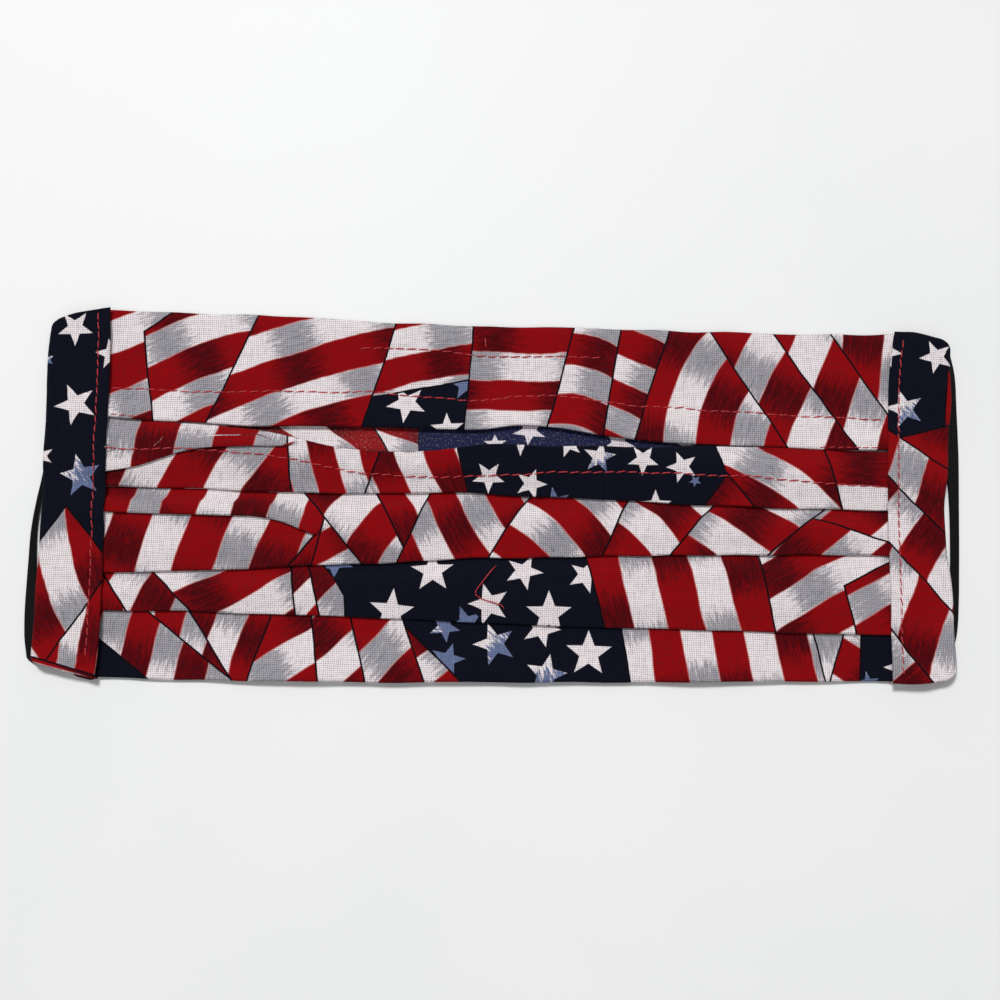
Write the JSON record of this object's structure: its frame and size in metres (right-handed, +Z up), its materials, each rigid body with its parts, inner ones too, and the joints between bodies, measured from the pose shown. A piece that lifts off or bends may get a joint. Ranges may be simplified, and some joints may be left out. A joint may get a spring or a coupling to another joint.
{
  "type": "pleated cloth face mask",
  "caption": "Pleated cotton face mask lying flat with its inner side up: a slit filter pocket in the lining, a casing at each end and a flat elastic ear loop through each casing.",
  "frame": {"origin": "on the surface the mask lies on, under the middle of the whole mask, ear loops included", "axes": "+X along the mask from one casing to the other, +Y towards its top edge over the nose, +Z up out of its inner side"},
  "size_m": [0.192, 0.0776, 0.0075],
  "materials": {
    "print_cotton": "matt plain-weave cotton, printed red, white, grey and navy",
    "casing_cotton": "matt plain-weave cotton, printed navy, red and white",
    "elastic": "matt black braided elastic"
  },
  "bodies": {
    "root": {"pleated_body": "print_cotton", "upper_lining": "print_cotton", "casing_left": "casing_cotton", "casing_right": "casing_cotton", "ear_loop_left": "elastic", "ear_loop_right": "elastic"}
  },
  "joints": []
}
